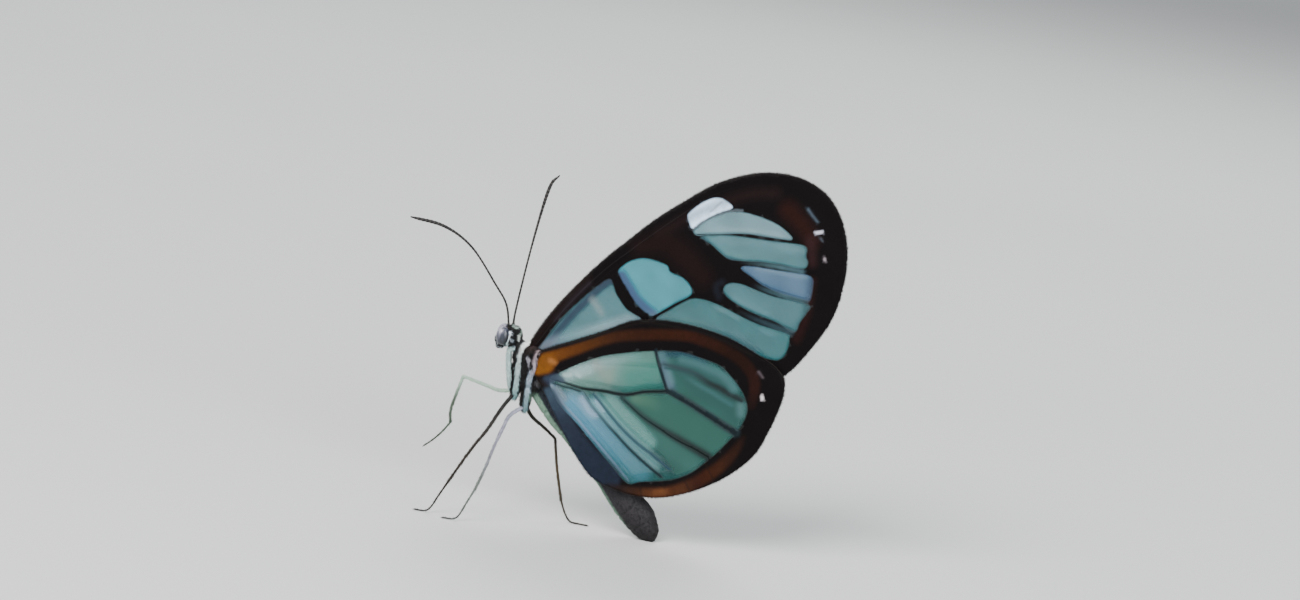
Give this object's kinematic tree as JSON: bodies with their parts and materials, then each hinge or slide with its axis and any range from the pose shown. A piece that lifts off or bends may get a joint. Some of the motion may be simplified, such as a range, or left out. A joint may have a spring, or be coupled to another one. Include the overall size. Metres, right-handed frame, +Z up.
{
  "type": "glasswing butterfly",
  "caption": "Life-size clear-winged butterfly at rest with its veined wings closed over its back, as a still display model.",
  "frame": {"origin": "middle of the butterfly's outline, on the floor that its feet and the tip of its abdomen stand on", "axes": "+X from the head towards the tail and the wings' tips, +Y to the butterfly's right, +Z up"},
  "size_m": [0.0368, 0.0102, 0.033],
  "materials": {
    "shell": "satin black armour with short scales",
    "abdomen": "matte grey-brown armour with fine scales",
    "eye": "glossy facets",
    "wing": "clear glossy membrane with dark scaled veins and borders",
    "limb_dark": "satin black",
    "limb_pale": "satin pale grey-green"
  },
  "bodies": {
    "root": {"head": "shell", "thorax": "shell", "abdomen": "abdomen", "proboscis": "limb_dark", "eye_l": "eye", "eye_r": "eye", "palp_l": "limb_dark", "palp_r": "limb_dark", "antenna_l": "limb_dark", "antenna_r": "limb_dark", "foreleg_l": "limb_pale", "foreleg_r": "limb_pale", "wing_fore_l": "wing", "wing_fore_r": "wing", "wing_hind_l": "wing", "wing_hind_r": "wing", "midleg_l_femur": "limb_dark", "midleg_l_tibia": "limb_dark", "midleg_l_tarsus": "limb_dark", "midleg_r_femur": "limb_pale", "midleg_r_tibia": "limb_pale", "midleg_r_tarsus": "limb_pale", "hindleg_l_femur": "limb_pale", "hindleg_l_tibia": "limb_pale", "hindleg_l_tarsus": "limb_pale", "hindleg_r_femur": "limb_dark", "hindleg_r_tibia": "limb_dark", "hindleg_r_tarsus": "limb_dark"}
  },
  "joints": []
}
